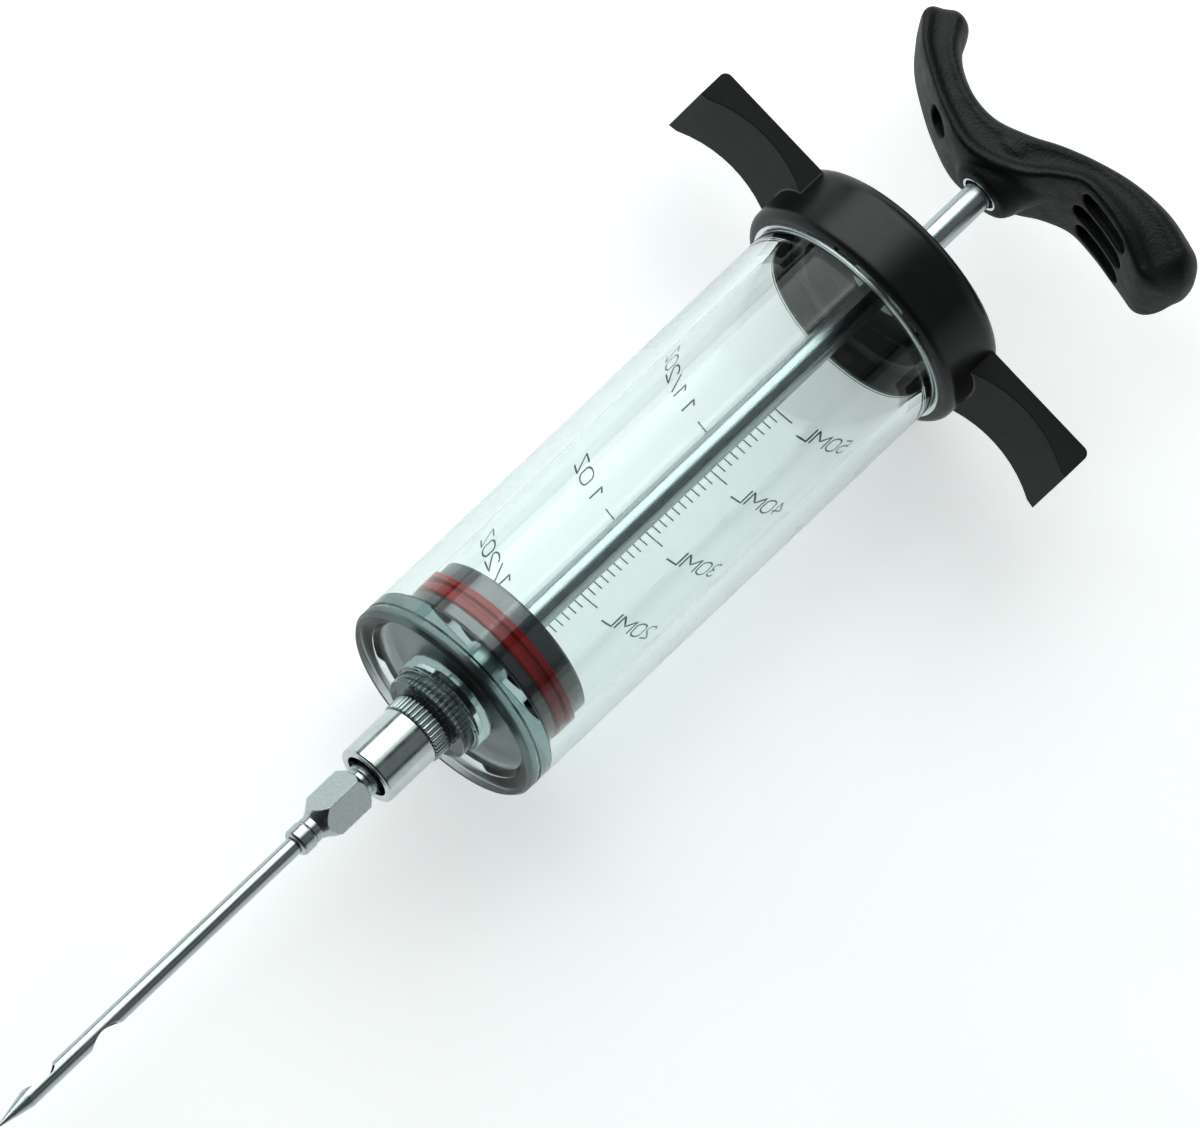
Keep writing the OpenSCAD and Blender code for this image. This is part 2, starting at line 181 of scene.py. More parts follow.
def steel(name, dark, light, rough, stretch, edge=0.12, lines=0.25, depth=0.004):
    """Drawn, turned or polished steel. stretch draws the scratches out."""
    look = Look(name, Metallic=1.0)
    scratch = look.noise(lines, 4, stretch, 0.6)
    cloud = look.noise(6, 2)
    look.feed(look.blend(look.span(scratch, 0, 1), dark, light), "Base Color")
    mixed = look.add("ShaderNodeMath", operation="ADD")
    look.link(look.span(scratch, rough[0], rough[1]), mixed, 0)
    look.link(look.span(cloud, 0, 0.04), mixed, 1)
    look.feed(mixed.outputs[0], "Roughness")
    look.feed(look.bump(scratch, 0.5, depth, look.soft_edges(edge)), "Normal")
    return look.material


def plastic(name, dark, light, rough, grain_mm, grain, edge, edge_lightening=0.25, ior=1.49):
    """Moulded plastic; grain is the depth of its fine texture, in mm. The argument after edge sets
    how much lighter the colour turns along sharp edges.
    """
    look = Look(name, IOR=ior)
    patch = look.noise(9, 3)
    fine = look.noise(grain_mm, 3)
    look.feed(look.lighten_edges(look.span(patch, 0, 1), dark, light, edge_lightening), "Base Color")
    look.feed(look.span(look.noise(2.5, 4), rough[0], rough[1]), "Roughness")
    normal = look.soft_edges(edge) if edge else None
    look.feed(look.bump(fine, 0.7, grain, normal), "Normal")
    return look.material


SHADOW_TINT = (0.8, 0.86, 0.87, 1)
BODY_TINT = (0.1, 0.42, 0.4, 1)     # seen only where the plastic is thick
BODY_DENSITY = 26


def clear(name, tint, rough=0.0):
    """Clear moulded plastic. Lamps shine through it, so what it holds is lit."""
    look = Look(name, Transmission_Weight=1.0, IOR=1.49, Base_Color=(*tint, 1))
    smear = look.noise(14, 2)
    look.feed(look.span(smear, rough, rough + 0.03), "Roughness")
    look.feed(look.bump(look.noise(30, 0), 0.05, 0.01), "Normal")
    open_to_light = look.add("ShaderNodeBsdfTransparent")
    open_to_light.inputs["Color"].default_value = SHADOW_TINT
    path = look.add("ShaderNodeLightPath")
    mix = look.add("ShaderNodeMixShader")
    output = look.tree.nodes["Material Output"]
    look.link(path.outputs["Is Shadow Ray"], mix, 0)
    look.link(look.shader.outputs[0], mix, 1)
    look.link(open_to_light.outputs[0], mix, 2)
    look.link(mix.outputs[0], output, "Surface")
    body = look.add("ShaderNodeVolumeAbsorption")
    body.inputs["Color"].default_value = BODY_TINT
    body.inputs["Density"].default_value = BODY_DENSITY
    look.link(body.outputs[0], output, "Volume")
    return look.material


def rubber(name, dark, light, rough):
    """Rubber, and the ink of the printed scale."""
    look = Look(name, IOR=1.5)
    look.feed(look.blend(look.span(look.noise(4, 3), 0, 1), dark, light), "Base Color")
    look.feed(look.span(look.noise(1.2, 3), rough[0], rough[1]), "Roughness")
    look.feed(look.bump(look.noise(0.5, 3), 0.15, 0.02, look.soft_edges(0.15)), "Normal")
    return look.material


ALONG = (50, 1, 1)      # scratches along the barrel's axis
TURNED = (1, 6, 6)      # marks of turning, across the axis
EVEN = (1, 1, 1)

NEEDLE_STEEL = steel("needle_steel", (0.44, 0.49, 0.49), (0.58, 0.63, 0.63), (0.18, 0.27),
                     ALONG, 0.08)
HUB_METAL = steel("hub_metal", (0.46, 0.51, 0.51), (0.56, 0.61, 0.61), (0.2, 0.27),
                  TURNED, 0.2, 0.2, 0.002)
KNURL_STEEL = steel("knurl_steel", (0.36, 0.41, 0.41), (0.48, 0.53, 0.525), (0.12, 0.18),
                    ALONG, 0.06)
CHROME = steel("chrome", (0.56, 0.61, 0.61), (0.64, 0.69, 0.685), (0.15, 0.21),
               EVEN, 0.12, 1.5, 0.001)
ROD_STEEL = steel("rod_steel", (0.46, 0.51, 0.51), (0.56, 0.61, 0.61), (0.22, 0.3),
                  ALONG, 0.1, 0.12, 0.001)
RING_STEEL = steel("ring_steel", (0.74, 0.79, 0.79), (0.84, 0.89, 0.89), (0.25, 0.33),
                   EVEN, 0.06)
CLEAR = clear("clear_plastic", (0.985, 0.995, 0.99))
FROSTED = clear("clear_plastic_fine_matt", (0.93, 0.96, 0.955), 0.3)
SEAL_RED = rubber("seal_red", (0.30, 0.007, 0.008), (0.37, 0.011, 0.011), (0.28, 0.38))
PLATE_BLACK = plastic("plate_black", (0.006, 0.0065, 0.007), (0.011, 0.012, 0.0125), (0.18, 0.26),
                      0.3, 0.002, 0.2, ior=2.3)
PLATE_GREY = plastic("plate_grey", (0.022, 0.026, 0.028), (0.032, 0.037, 0.04), (0.18, 0.26),
                     0.3, 0.002, 0.2, ior=2.3)
COLLAR_BLACK = plastic("collar_black", (0.006, 0.0068, 0.0066), (0.011, 0.012, 0.0118),
                       (0.28, 0.36), 0.25, 0.006, 0.4, 0.12, ior=1.6)
HANDLE_BLACK = plastic("handle_black", (0.012, 0.015, 0.0145), (0.02, 0.0235, 0.023), (0.42, 0.54),
                       0.42, 0.2, 0, 0.15, ior=1.5)
WHITE_PLASTIC = plastic("white_plastic", (0.74, 0.75, 0.74), (0.82, 0.83, 0.82), (0.35, 0.45),
                        0.3, 0.003, 0.15)
BLACK_RUBBER = rubber("black_rubber", (0.014, 0.014, 0.014), (0.022, 0.022, 0.022), (0.5, 0.62))
INK = rubber("print_ink", (0.12, 0.14, 0.14), (0.2, 0.225, 0.225), (0.5, 0.65))

NODE_LOOKS = {
    "needle_tube": NEEDLE_STEEL, "needle_ferrule": HUB_METAL, "needle_hub": HUB_METAL,
    "lock_sleeve": CHROME, "luer_cone": CHROME, "knurled_fitting": HUB_METAL,
    "fitting_seal": BLACK_RUBBER, "piston_front_plate": PLATE_BLACK, "piston_seal": SEAL_RED,
    "piston_rear_plate": PLATE_GREY, "piston_nut": HUB_METAL, "piston_washer": HUB_METAL,
    "push_rod": ROD_STEEL, "finger_collar": COLLAR_BLACK, "collar_ring": RING_STEEL,
    "rod_guide": WHITE_PLASTIC, "rod_wiper": BLACK_RUBBER, "handle_insert": RING_STEEL,
}


def matt_flanges(material, start_mm, rough):
    """The finger flanges, beyond start_mm from the axis, are less glossy than the round body."""
    tree = material.node_tree
    shader = tree.nodes["Principled BSDF"]
    body = shader.inputs["Roughness"].links[0].from_socket
    coord = tree.nodes.new("ShaderNodeTexCoord")
    across = tree.nodes.new("ShaderNodeVectorMath")
    across.operation = "MULTIPLY"
    across.inputs[1].default_value = (0, 1, 1)
    out = tree.nodes.new("ShaderNodeVectorMath")
    out.operation = "LENGTH"
    edge = tree.nodes.new("ShaderNodeMapRange")
    edge.inputs["From Min"].default_value = start_mm * MM
    edge.inputs["From Max"].default_value = (start_mm + 0.1) * MM
    edge.inputs["To Min"].default_value = 0
    edge.inputs["To Max"].default_value = rough
    higher = tree.nodes.new("ShaderNodeMath")
    higher.operation = "MAXIMUM"
    tree.links.new(coord.outputs["Object"], across.inputs[0])
    tree.links.new(across.outputs["Vector"], out.inputs[0])
    tree.links.new(out.outputs["Value"], edge.inputs["Value"])
    tree.links.new(edge.outputs["Result"], higher.inputs[0])
    tree.links.new(body, higher.inputs[1])
    tree.links.new(higher.outputs[0], shader.inputs["Roughness"])


matt_flanges(COLLAR_BLACK, start_mm=20.7, rough=0.62)
for node, look in NODE_LOOKS.items():
    mesh = frame["nodes"][node].data
    mesh.materials.clear()
    mesh.materials.append(look)

# ---------------------------------------------------------------- mesh helpers, in mm


def new_object(name, mesh_in_mm, look, smooth=True):
    """Turns a bmesh in mm into an object in metres."""
    mesh = bpy.data.meshes.new(name)
    bmesh.ops.recalc_face_normals(mesh_in_mm, faces=mesh_in_mm.faces)
    for face in mesh_in_mm.faces:
        face.smooth = smooth
    mesh_in_mm.to_mesh(mesh)
    mesh_in_mm.free()
    mesh.transform(Matrix.Scale(MM, 4))
    obj = bpy.data.objects.new(name, mesh)
    bpy.context.scene.collection.objects.link(obj)
    mesh.materials.append(look)
    return obj


STRAIGHT = 3.1       # a corner this open, in radians, stays as it is
MOST_OF_SIDE = 0.4   # the share of a side that one rounded corner may take


def rounded(profile, radii, steps=4):
    """A closed outline of (radius, x) points, its corners rounded by one radius or by one each."""
    out = []
    count = len(profile)
    for i, point in enumerate(profile):
        p = Vector(point)
        a, b = Vector(profile[i - 1]) - p, Vector(profile[(i + 1) % count]) - p
        angle = a.angle(b)
        radius = radii[i] if isinstance(radii, tuple) else radii
        wanted = radius / math.tan(angle / 2) if angle < STRAIGHT else 0
        cut = min(wanted, MOST_OF_SIDE * a.length, MOST_OF_SIDE * b.length)
        if cut < 0.01:
            out.append(p)
            continue
        start, end = p + a.normalized() * cut, p + b.normalized() * cut
        for k in range(steps + 1):
            t = k / steps
            out.append(start * (1 - t) ** 2 + p * 2 * t * (1 - t) + end * t * t)
    return out


def braced(outline, reach=0.15):
    """Adds a point near both ends of each long side, so the shading of corners stays at them."""
    out = []
    for i, point in enumerate(outline):
        p, q = Vector(point), Vector(outline[(i + 1) % len(outline)])
        length = (q - p).length
        out.append(p)
        if length > 6 * reach:
            out += [p.lerp(q, reach / length), p.lerp(q, 1 - reach / length)]
    return out


def lathe(profile, segments, shape=None):
    """Turns an outline of (radius, x) about the X axis; shape(radius, x, angle) may change it."""
    bm = bmesh.new()
    profile = braced(profile)
    rings = []
    for r, x in profile:
        ring = []
        for k in range(segments):
            a = 2 * math.pi * k / segments
            q = shape(r, x, a) if shape else r
            ring.append(bm.verts.new((x, q * math.cos(a), q * math.sin(a))))
        rings.append(ring)
    for i, ring in enumerate(rings):
        other = rings[(i + 1) % len(rings)]
        for k in range(segments):
            n = (k + 1) % segments
            bm.faces.new((ring[k], ring[n], other[n], other[k]))
    return bm


def cut_or_join(obj, other, operation):
    modifier = obj.modifiers.new(operation, "BOOLEAN")
    modifier.operation = operation
    modifier.object = other
    modifier.solver = "EXACT"


def bake(obj, tools):
    """Keeps the mesh that the modifiers make and removes the tools they used."""
    graph = bpy.context.evaluated_depsgraph_get()
    made = bpy.data.meshes.new_from_object(obj.evaluated_get(graph))
    obj.modifiers.clear()
    obj.data = made
    for tool in tools:
        bpy.data.objects.remove(tool)


# ---------------------------------------------------------------- barrel

BOSS_R, BOSS_STEP_R, SHANK_R, STEM_R = 7.5, 8.1, 4.9, 2.4
RIM_R = BARREL_R - 0.05
RECESS_R = BORE_R + 0.1
GROOVE = 0.2                        # depth and half width of the fine groove behind the rim
TAIL_R = BARREL_R - 0.3
TAIL_X = RING_X[0] - 0.25
LUG_R, LUG_HALF, LUG_LENGTH = 19.3, math.radians(24), 2.7
LUG_X = BARREL_REAR - LUG_LENGTH
SHANK_DEPTH = 0.42                  # how deep the metal shank is set into the boss


def with_lugs(r, x, angle):
    """Raises the last stretch of the tail to two bayonet lugs, at +Y and -Y."""
    if r < BORE_R + 1 or x < LUG_X:
        return r
    return LUG_R - (TAIL_R - r) if abs(math.cos(angle)) > math.cos(LUG_HALF) else r


def is_frosted(r, x):
    """The rim's bevel and the floor of the recess have a fine matt finish."""
    on_bevel = r > BORE_R + 0.05 and x < BARREL_FRONT + 1.4
    on_floor = BOSS_STEP_R + 0.3 < r < BORE_R - 0.5 and x < FLOOR_X + 0.05
    return on_bevel or on_floor


def barrel():
    front, hole, stem = BARREL_FRONT, SHANK_R - SHANK_DEPTH, STEM_R - 0.02
    groove_x = front + 2.3
    boss = [(hole, BOSS_X), (BOSS_R, BOSS_X), (BOSS_R, front - 0.6), (BOSS_STEP_R, front - 0.6)]
    recess = [(BOSS_STEP_R, FLOOR_X), (BORE_R - 0.6, FLOOR_X), (RECESS_R, FLOOR_X - 0.6),
              (RECESS_R, front + 1.3)]
    rim = [(BARREL_R - 0.65, front), (RIM_R, front + 0.7), (RIM_R, groove_x - GROOVE),
           (RIM_R - GROOVE, groove_x), (BARREL_R, groove_x + GROOVE)]
    tail = [(BARREL_R, TAIL_X), (TAIL_R, TAIL_X), (TAIL_R, LUG_X - 0.01), (TAIL_R, LUG_X),
            (TAIL_R, BARREL_REAR)]
    bore = [(BORE_R, BARREL_REAR), (BORE_R, BORE_X), (stem, BORE_X), (stem, SHANK_END + 1),
            (hole, SHANK_END + 1)]
    outline = rounded(boss + recess + rim + tail + bore, 0.15, 3)
    obj = new_object("barrel_shell", lathe(outline, 192, with_lugs), CLEAR)
    obj.data.materials.append(FROSTED)
    for face in obj.data.polygons:
        x, y, z = face.center / MM
        if is_frosted(math.hypot(y, z), x):
            face.material_index = 1
    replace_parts(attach(obj, "barrel"), "barrel")


barrel()

# ---------------------------------------------------------------- lock sleeve and knurled fitting

KNURL_X = low("knurled_fitting").x
KNURL_L, KNURL_R, RIBS, RIB_DEPTH = 2.9, 5.4, 38, 0.4
SLEEVE_X, SLEEVE_R, SLEEVE_BORE_R = low("lock_sleeve").x, high("lock_sleeve").y, 4.05
LIP_R, LIP_L = 3.7, 1.2


def sleeve():
    lip_x = SLEEVE_X + LIP_L
    outline = [(LIP_R, SLEEVE_X), (SLEEVE_R, SLEEVE_X), (SLEEVE_R, KNURL_X),
               (SLEEVE_BORE_R, KNURL_X), (SLEEVE_BORE_R, lip_x), (LIP_R, lip_x)]
    curve = rounded(outline, (0.3, 1.2, 0.25, 0.15, 0.1, 0.1), 8)
    obj = new_object("sleeve_polished", lathe(curve, 160), CHROME)
    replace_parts(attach(obj, "barrel"), "lock_sleeve")


def ribbed(r, x, angle):
    """Round-topped ribs with narrow valleys."""
    wave = abs(math.sin(RIBS * angle / 2)) ** 0.6
    return r - RIB_DEPTH * (1 - wave) if r > STEM_R + 1 else r


def knurl():
    neck = KNURL_X + KNURL_L
    outline = [(STEM_R, KNURL_X), (KNURL_R, KNURL_X), (KNURL_R, neck), (SHANK_R, neck),
               (SHANK_R, SHANK_END), (STEM_R, SHANK_END)]
    mesh = lathe(rounded(outline, 0.3), RIBS * 12, ribbed)
    obj = new_object("knurled_ring", mesh, KNURL_STEEL)
    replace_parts(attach(obj, "barrel"), "knurled_fitting")


sleeve()
knurl()

# ---------------------------------------------------------------- handle

HUB_FACE = 1.25                     # where the hub's front stands in the handle's own frame
# Out along the arm, behind the hub, half thickness, half widths of the pad and the palm
STATIONS = [
    (28.0, 11.2, 5.4, 7.4, 7.0), (22.5, 12.9, 5.1, 9.5, 7.6), (16.5, 13.5, 4.3, 10.0, 7.6),
    (11.0, 13.0, 3.5, 9.8, 7.3), (6.0, 11.0, 3.8, 8.6, 7.4), (1.5, 8.4, 4.3, 7.6, 7.5),
    (-4.5, 6.6, 4.3, 7.4, 7.2), (-10.5, 7.8, 3.4, 7.4, 6.8), (-15.8, 10.5, 3.1, 7.2, 6.6),
    (-19.4, 13.4, 3.4, 6.6, 6.3), (-21.6, 16.6, 3.8, 5.8, 5.8),
]
# Half outline of a section: depth, share of the pad's half width, share of the palm's
SECTION = [
    (-1.00, 0.30, 0), (-0.99, 0.62, 0), (-0.96, 0.86, 0), (-0.90, 0.97, 0), (-0.78, 1.00, 0),
    (-0.62, 0.86, 0.12), (-0.44, 0.52, 0.40), (-0.18, 0.20, 0.72), (0.12, 0.03, 0.92),
    (0.40, 0, 1.00), (0.66, 0, 0.88), (0.86, 0, 0.62), (0.97, 0, 0.30),
]
# The hub: radius and distance behind its front
HANDLE_HUB = [(0.01, 0), (4.4, 0), (5.1, 0.4), (5.7, 1.5), (6.2, 3.2), (6.7, 4.8), (7.4, 6.2),
              (7.4, 8), (0.01, 8)]
HANDLE_BORE = [(0.01, -1), (3.15, -1), (3.15, 9), (0.01, 9)]
# Slots of the finger pads: start and end along the arm, place across it, width
SLOTS = [(10.5, 24.3, 0, 4.2), (11.9, 24.3, 5.6, 4.2), (11.9, 24.3, -5.6, 4.2),
         (-12.9, -8.8, 1.5, 5.6)]
SLOT_DEPTH = 1.7
ABOVE_PAD = 2.0                     # how far a slot's cutter stands out of the pad
LONG_END, SHORT_END = 4.6, 3.1      # length of the round end of each arm
CAP_STEPS = 10
VOXEL = 0.22
RELAX_STEPS = 12


def glide(points, per_span, closed=False):
    """A smooth curve through the points."""
    out = []
    count = len(points)
    spans = count if closed else count - 1

    def at(i):
        return Vector(points[i % count] if closed else points[min(max(i, 0), count - 1)])

    for i in range(spans):
        p0, p1, p2, p3 = at(i - 1), at(i), at(i + 1), at(i + 2)
        for k in range(per_span):
            t = k / per_span
            out.append((2 * p1 + (p2 - p0) * t + (2 * p0 - 5 * p1 + 4 * p2 - p3) * t * t
                        + (3 * p1 - p0 - 3 * p2 + p3) * t ** 3) / 2)
    if not closed:
        out.append(at(count - 1))
    return out


def headings(path):
    """The direction of the path in plan at each of its points."""
    out = []
    for i in range(len(path)):
        a, b = path[min(i + 1, len(path) - 1)], path[max(i - 1, 0)]
        out.append(Vector((a[0] - b[0], a[1] - b[1])).normalized())
    return out


def handle_skin():
    """Both arms as one skin: the section swept through the stations, with round ends."""
    path = glide(STATIONS, 8)
    ways = headings(path)
    full = SECTION + [(depth, -pad, -palm) for depth, pad, palm in reversed(SECTION)]
    full = glide(full, 3, closed=True)
    bm = bmesh.new()

    def ring(s, way, out, scale):
        c = Vector((s[0], s[1])) + way * out
        side = Vector((-way[1], way[0]))
        made = []
        for q in full:
            p = c - side * (q[0] * s[2] * scale)
            made.append(bm.verts.new((p[1], -p[0], (q[1] * s[3] + q[2] * s[4]) * scale)))
        return made

    caps = [math.radians(88) * (i + 1) / CAP_STEPS for i in range(CAP_STEPS)]
    rings = [ring(path[0], ways[0], -LONG_END * math.sin(a), math.cos(a)) for a in reversed(caps)]
    rings += [ring(s, w, 0, 1) for s, w in zip(path, ways)]
    rings += [ring(path[-1], ways[-1], SHORT_END * math.sin(a), math.cos(a)) for a in caps]
    n = len(full)
    for a, b in zip(rings, rings[1:]):
        for k in range(n):
            bm.faces.new((a[k], b[k], b[(k + 1) % n], a[(k + 1) % n]))
    bm.faces.new(rings[0])
    bm.faces.new(list(reversed(rings[-1])))
    bmesh.ops.recalc_face_normals(bm, faces=bm.faces)
    return bm


def pad_slot(start, end, z0, width, depth):
    """The solid that a slot takes out of a finger pad, with round ends."""
    path = glide(STATIONS, 16)
    ways = headings(path)
    rows, lanes = 26, 12
    bm = bmesh.new()

    def at(out):
        """Place and heading on the arm at a distance out along it."""
        for (p, w), (q, _) in zip(zip(path, ways), zip(path[1:], ways[1:])):
            if q[0] <= out <= p[0]:
                t = (out - p[0]) / (q[0] - p[0])
                return p.lerp(q, t), w
        return path[-1], ways[-1]

    grid = {}
    radius = width / 2
    bend = min(radius, (end - start) / 2 - 0.2)
    for j in range(lanes + 1):
        z = -radius * math.cos(math.pi * j / lanes)
        inset = bend * (1 - math.sqrt(max(1 - (z / radius) ** 2, 0)))
        for i in range(rows + 1):
            out = start + inset + (end - start - 2 * inset) * i / rows
            s, way = at(out)
            side = Vector((-way[1], way[0]))
            for layer, d in enumerate((-ABOVE_PAD, depth)):
                p = Vector((s[0], s[1])) + side * (s[2] - d)
                grid[i, j, layer] = bm.verts.new((p[1], -p[0], z0 + z))
    for j in range(lanes):
        for i in range(rows):
            corners = ((i, j), (i + 1, j), (i + 1, j + 1), (i, j + 1))
            for layer in (0, 1):
                bm.faces.new([grid[a, b, layer] for a, b in corners])
    for j in range(lanes):
        for i in (0, rows):
            bm.faces.new([grid[i, j, 0], grid[i, j + 1, 0], grid[i, j + 1, 1], grid[i, j, 1]])
    for i in range(rows):
        for j in (0, lanes):
            bm.faces.new([grid[i, j, 0], grid[i + 1, j, 0], grid[i + 1, j, 1], grid[i, j, 1]])
    bmesh.ops.recalc_face_normals(bm, faces=bm.faces)
    return bm


def handle():
    skin = new_object("handle_grip", handle_skin(), HANDLE_BLACK)
    hub = [(r, HUB_FACE + x) for r, x in HANDLE_HUB]
    tools = [new_object("tool_hub", lathe(hub, 64), HANDLE_BLACK)]
    cut_or_join(skin, tools[0], "UNION")
    for start, end, z, width in SLOTS:
        cutter = new_object("tool_slot", pad_slot(start, end, z, width, SLOT_DEPTH), HANDLE_BLACK)
        tools.append(cutter)
        cut_or_join(skin, cutter, "DIFFERENCE")
    remesh = skin.modifiers.new("voxels", "REMESH")
    remesh.mode = "VOXEL"
    remesh.voxel_size = VOXEL * MM
    remesh.use_smooth_shade = True
    relax = skin.modifiers.new("relax", "SMOOTH")
    relax.factor = 0.5
    relax.iterations = RELAX_STEPS
    tools.append(new_object("tool_bore", lathe(HANDLE_BORE, 96), HANDLE_BLACK))
    cut_or_join(skin, tools[-1], "DIFFERENCE")
    bake(skin, tools)
    turn = Matrix.Rotation(-HANDLE_TURN, 4, "X")
    skin.data.transform(Matrix.Translation((HANDLE_X * MM, 0, 0)) @ turn)
    for polygon in skin.data.polygons:
        polygon.use_smooth = True
    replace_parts(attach(skin, "plunger"), "handle")


handle()

# ---------------------------------------------------------------- scale print


def arc(cx, cy, rx, ry, start, end, steps=12):
    """Points along an arc from its centre, radii, and start and end in degrees."""
    turns = [math.radians(start + (end - start) * i / steps) for i in range(steps + 1)]
    return [(cx + rx * math.cos(a), cy + ry * math.sin(a)) for a in turns]


def oval(width):
    """A tall closed shape with straight sides: the sign for zero, or the letter."""
    r = width / 2
    return arc(r, 6 - r, r, r, 0, 180) + arc(r, r, r, r, 180, 360) + [(width, 6 - r)]


# Each sign's width and its strokes, on a grid 6 high
SIGNS = {
    "0": (3.6, [oval(3.6)]),
    "1": (1.6, [[(0, 4.8), (1.2, 6), (1.2, 0)]]),
    "2": (3.6, [arc(1.8, 4.3, 1.7, 1.7, 170, -40) + [(0, 0), (3.6, 0)]]),
    "3": (3.5, [arc(1.7, 4.5, 1.5, 1.5, 150, -90) + arc(1.7, 1.6, 1.7, 1.5, 90, -150)]),
    "4": (3.7, [[(2.8, 0), (2.8, 6), (0, 1.8), (3.7, 1.8)]]),
    "5": (3.5, [[(3.2, 6), (0.4, 6), (0.2, 3.3)] + arc(1.6, 1.9, 1.8, 1.9, 110, -150)]),
    "/": (2.4, [[(0, 0), (2.4, 6)]]),
    "M": (4.4, [[(0, 0), (0, 6), (2.2, 2.4), (4.4, 6), (4.4, 0)]]),
    "L": (3.2, [[(0, 6), (0, 0), (3.2, 0)]]),
    "O": (3.8, [oval(3.8)]),
    "Z": (3.5, [[(0, 6), (3.5, 6), (0, 0), (3.5, 0)]]),
    " ": (1.2, []),
}


def ribbon(bm, points, width, place):
    """A thin raised ribbon along the points; place(a, b, lift) puts a flat point on the barrel."""
    dense = []
    for p, q in zip(points, points[1:]):
        p, q = Vector(p), Vector(q)
        n = max(1, math.ceil((q - p).length / 0.4))
        dense += [p.lerp(q, i / n) for i in range(n)]
    dense.append(Vector(points[-1]))
    rows = []
    for i, p in enumerate(dense):
        way = (dense[min(i + 1, len(dense) - 1)] - dense[max(i - 1, 0)]).normalized()
        side = Vector((-way.y, way.x)) * width / 2
        rows.append([bm.verts.new(place(*(p + side * s), lift))
                     for s, lift in ((1, 0.0), (1, INK_LIFT), (-1, INK_LIFT), (-1, 0.0))])
    for a, b in zip(rows, rows[1:]):
        for k in range(4):
            bm.faces.new((a[k], a[(k + 1) % 4], b[(k + 1) % 4], b[k]))
    bm.faces.new(rows[0])
    bm.faces.new(rows[-1])


SCALE_ZERO = BORE_X                 # the printed zero is at the front of the bore
INK_LIFT = 0.03                     # thickness of the print
TICK_LINE, ML_LINE, OZ_LINE = 0.22, 0.32, 0.3
LETTER_HEIGHT = 2.7
LETTER_STRETCH = 1.61               # the letters are wider than their grid
LABEL_BACK = 1.2                    # a label starts this far in front of its tick
# Places round the barrel, in radians: where the ticks and the labels start and end
ML_LONG, ML_SHORT, ML_LABEL = (-0.36, -0.14), (-0.25, -0.14), -1.2
OZ_TICK, OZ_LABEL = (0.15, 0.28), 0.426


def on_barrel(x, angle, lift):
    """A place on the far side of the barrel; angle is measured from -Z towards +Y."""
    r = BARREL_R + 0.005 + lift
    return (x, r * math.sin(angle), -r * math.cos(angle))


def finish_print(name, bm):
    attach(new_object(name, bm, INK, smooth=False), "barrel")


def label(bm, text, x, angle, line):
    """Signs that read from outside the barrel: they advance towards +Y and stand along +X."""
    unit = LETTER_HEIGHT / 6
    wide = LETTER_STRETCH * unit
    advance = 0.0
    for sign in text:
        width, strokes = SIGNS[sign]
        for stroke in strokes:
            def place(a, b, lift, start=advance):
                return on_barrel(x + b, angle + (start + a) / BARREL_R, lift)
            ribbon(bm, [(a * wide, b * unit) for a, b in stroke], line, place)
        advance += (width + 1.0) * wide


def tick(bm, x, angles):
    """A mark round the barrel at x, between two angles."""
    def place(a, b, lift):
        return on_barrel(x + b, a / BARREL_R, lift)
    ribbon(bm, [(angles[0] * BARREL_R, 0), (angles[1] * BARREL_R, 0)], TICK_LINE, place)


def print_scale():
    ml_ticks, ml_labels, oz_ticks, oz_labels = [bmesh.new() for _ in range(4)]
    for step in range(11, 51):
        tick(ml_ticks, SCALE_ZERO + step * ML, ML_SHORT if step % 10 else ML_LONG)
    for value in (20, 30, 40, 50):
        x = SCALE_ZERO + value * ML - LABEL_BACK
        label(ml_labels, f"{value}ML", x, ML_LABEL, ML_LINE)
    for halves, text in ((1, "1/2OZ"), (2, "1 OZ"), (3, "1 1/2OZ")):
        x = SCALE_ZERO + halves * OUNCE / 2 * ML
        tick(oz_ticks, x, OZ_TICK)
        label(oz_labels, text, x - LABEL_BACK, OZ_LABEL, OZ_LINE)
    finish_print("scale_marks_ml", ml_ticks)
    finish_print("scale_numbers_ml", ml_labels)
    finish_print("scale_marks_oz", oz_ticks)
    finish_print("scale_numbers_oz", oz_labels)


print_scale()

# ---------------------------------------------------------------- studio

LIGHT_TINT = (0.95, 1.0, 0.99)
LIGHT_DISTANCE = 0.9
VIEW_SINE, VIEW_COSINE = 0.345, 0.938            # of the view's lean from square on
CAMERA_ROLL = math.radians(43.55)
CAMERA_DISTANCE = 7.0                            # far off, as the photo has little perspective
FRAME_WIDTH = 0.1775                             # of the picture, at the object
SENSOR = 36
AIM = (-10.7, -1.0, 0)                           # the middle of the picture, in mm


def floor():
    """A wide pale floor with a faint glow, just under the object."""
    lowest = CAD_BOX[0].z
    bm = bmesh.new()
    bmesh.ops.create_grid(bm, x_segments=8, y_segments=8, size=2500)
    look = Look("studio_floor", Roughness=0.7)
    cloud = look.span(look.noise(60, 2), 0, 1)
    look.feed(look.blend(cloud, (0.60, 0.602, 0.602), (0.63, 0.632, 0.632)), "Base Color")
    look.shader.inputs["Emission Color"].default_value = (0.98, 1.0, 1.0, 1)
    look.shader.inputs["Emission Strength"].default_value = 0.62
    obj = new_object("floor", bm, look.material)
    obj.location.z = lowest - 0.2 * MM


def basis(x, y, z, place):
    """A matrix with these axes at a place in metres."""
    return Matrix.Translation(place) @ Matrix((x, y, z)).transposed().to_4x4()


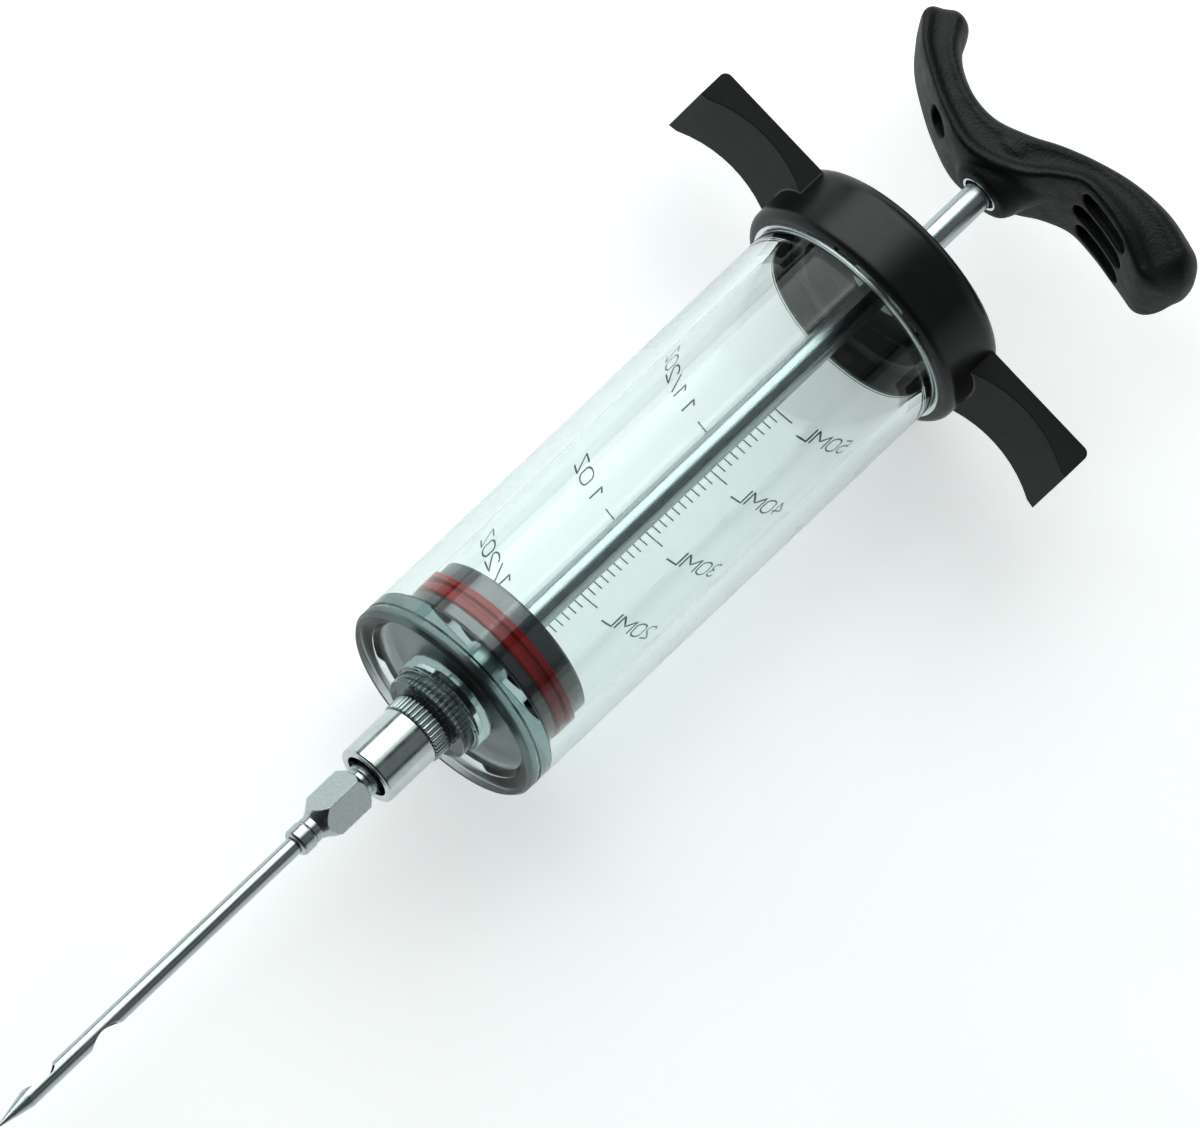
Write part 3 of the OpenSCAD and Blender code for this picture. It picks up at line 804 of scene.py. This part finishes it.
def softbox(name, direction, size, radiance):
    """A rectangular area light that faces the object, size[0] along X."""
    data = bpy.data.lights.new(name, "AREA")
    data.shape = "RECTANGLE"
    data.size, data.size_y = size
    data.energy = radiance * math.pi * size[0] * size[1]
    data.color = LIGHT_TINT
    obj = bpy.data.objects.new(name, data)
    bpy.context.scene.collection.objects.link(obj)
    way = Vector(direction).normalized()
    side = Vector((1, 0, 0)) - way * way.x
    side.normalize()
    obj.matrix_world = basis(side, way.cross(side), way, way * LIGHT_DISTANCE)


def arc_direction(angle):
    """What a tube along X mirrors towards the camera: angle is from the zenith towards +Y."""
    a = math.radians(angle)
    return (VIEW_SINE, VIEW_COSINE * math.sin(a), VIEW_COSINE * math.cos(a))


def world():
    """Dim surroundings, brighter at the horizon than overhead."""
    made = bpy.data.worlds.new("studio")
    bpy.context.scene.world = made
    made.use_nodes = True
    tree = made.node_tree
    coord = tree.nodes.new("ShaderNodeTexCoord")
    split = tree.nodes.new("ShaderNodeSeparateXYZ")
    ramp = tree.nodes.new("ShaderNodeValToRGB")
    tree.links.new(coord.outputs["Generated"], split.inputs[0])
    tree.links.new(split.outputs["Z"], ramp.inputs[0])
    ramp.color_ramp.elements[0].position = 0.0
    ramp.color_ramp.elements[0].color = (0.5, 0.51, 0.515, 1)
    ramp.color_ramp.elements[1].position = 0.55
    ramp.color_ramp.elements[1].color = (0.1, 0.105, 0.11, 1)
    tree.links.new(ramp.outputs[0], tree.nodes["Background"].inputs["Color"])
    tree.nodes["Background"].inputs["Strength"].default_value = 0.5


def camera():
    """Looks down on the barrel, leant towards its front and rolled as in the photo."""
    tilt = math.asin(VIEW_SINE)
    along = Vector((math.cos(tilt), 0, math.sin(tilt)))
    across = Vector((0, 1, 0))
    right = along * math.cos(CAMERA_ROLL) - across * math.sin(CAMERA_ROLL)
    up = along * math.sin(CAMERA_ROLL) + across * math.cos(CAMERA_ROLL)
    back = right.cross(up)
    data = bpy.data.cameras.new("camera")
    data.sensor_width = SENSOR
    data.lens = SENSOR * CAMERA_DISTANCE / FRAME_WIDTH
    data.clip_start, data.clip_end = 0.1, 30
    obj = bpy.data.objects.new("camera", data)
    bpy.context.scene.collection.objects.link(obj)
    obj.matrix_world = basis(right, up, back, Vector(AIM) * MM + back * CAMERA_DISTANCE)
    bpy.context.scene.camera = obj


floor()
world()
softbox("key", arc_direction(48), (1.3, 0.9), 2.3)
softbox("key_top", arc_direction(14), (1.3, 0.28), 1.1)
softbox("fill", arc_direction(-29), (1.2, 0.7), 0.24)
softbox("low", arc_direction(-76), (1.2, 0.42), 0.6)
camera()
bpy.context.scene.view_settings.view_transform = "Standard"
bpy.context.scene.view_settings.gamma = 0.75
bpy.context.scene.cycles.use_denoising = True
